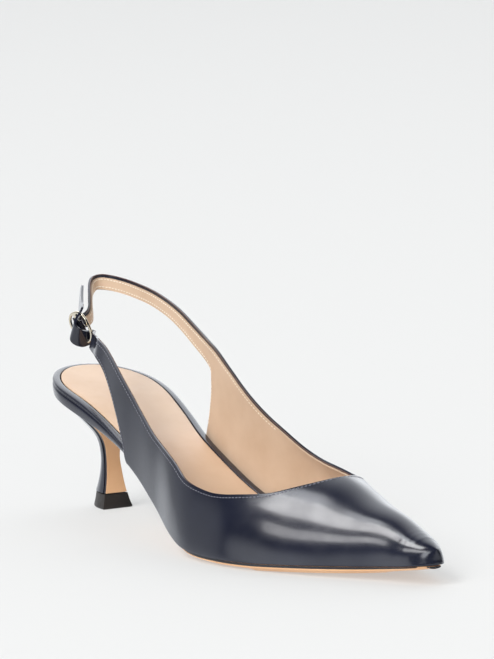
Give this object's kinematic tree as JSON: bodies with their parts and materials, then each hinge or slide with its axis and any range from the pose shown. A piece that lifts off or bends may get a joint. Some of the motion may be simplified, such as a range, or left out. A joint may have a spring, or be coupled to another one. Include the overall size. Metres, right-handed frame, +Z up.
{
  "type": "slingback pump",
  "caption": "Pointed-toe slingback pump with a low curved heel, leather sling strap and small oval buckle, right shoe.",
  "frame": {"origin": "bottom centre of the shoe's bounding box, on the floor", "axes": "+X from the heel to the toe, +Y to the inner (medial) side, +Z up"},
  "size_m": [0.2612, 0.0746, 0.0962],
  "materials": {
    "navy_calf": "polished navy calf leather",
    "tan_lining": "matt tan lining leather",
    "sole_leather": "smooth tan sole leather",
    "heel_rubber": "dense dark rubber",
    "pale_metal": "polished pale gold plating"
  },
  "bodies": {
    "root": {"outsole": "sole_leather", "heel": "navy_calf", "top_piece": "heel_rubber", "insole": "navy_calf", "sock": "tan_lining", "upper": "navy_calf", "buckle_frame": "pale_metal", "buckle_prong": "pale_metal"}
  },
  "joints": []
}
